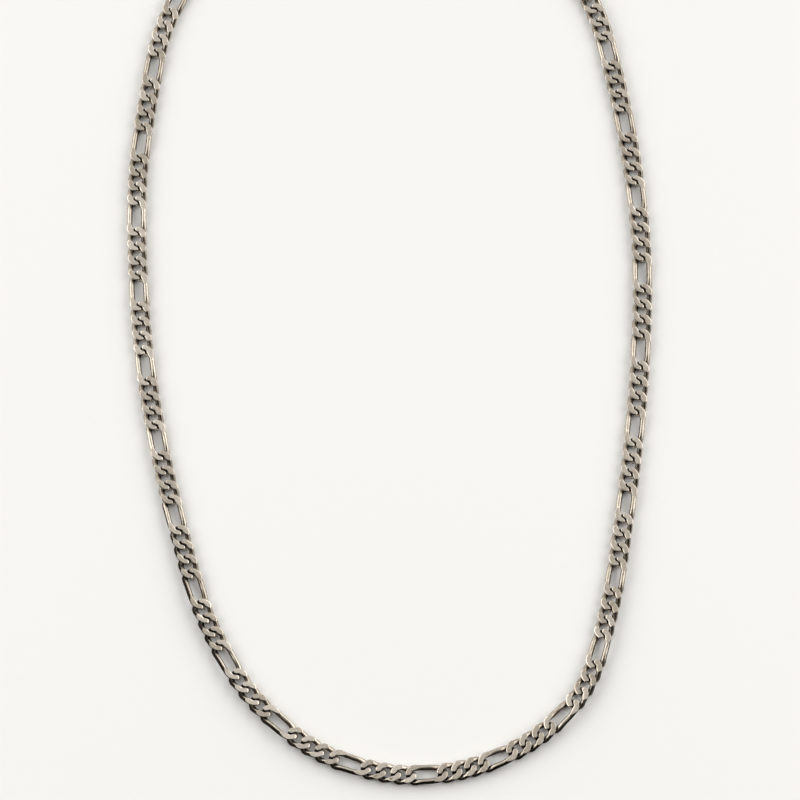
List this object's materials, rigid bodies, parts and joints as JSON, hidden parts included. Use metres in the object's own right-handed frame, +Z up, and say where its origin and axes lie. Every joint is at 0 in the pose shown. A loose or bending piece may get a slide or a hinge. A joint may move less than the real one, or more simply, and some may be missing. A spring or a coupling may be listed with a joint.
{
  "type": "figaro neck chain",
  "caption": "Silver-tone figaro neck chain lying flat as a closed loop: groups of three short twisted oval links between long ones, ground flat on both faces, with a plain clasp.",
  "frame": {"origin": "on the surface the chain lies on, under the middle of the loop's box", "axes": "+Z up out of the chain's upper faces, +Y along the loop to the clasp behind the neck, +X across the loop"},
  "size_m": [0.1339, 0.2453, 0.0027],
  "materials": {
    "chain_metal": "worn, lightly tarnished silver-tone metal with ground faces",
    "clasp_metal": "worn silver-tone metal, plain"
  },
  "bodies": {
    "root": {"chain_left": "chain_metal", "chain_right": "chain_metal", "clasp": "clasp_metal"}
  },
  "joints": []
}
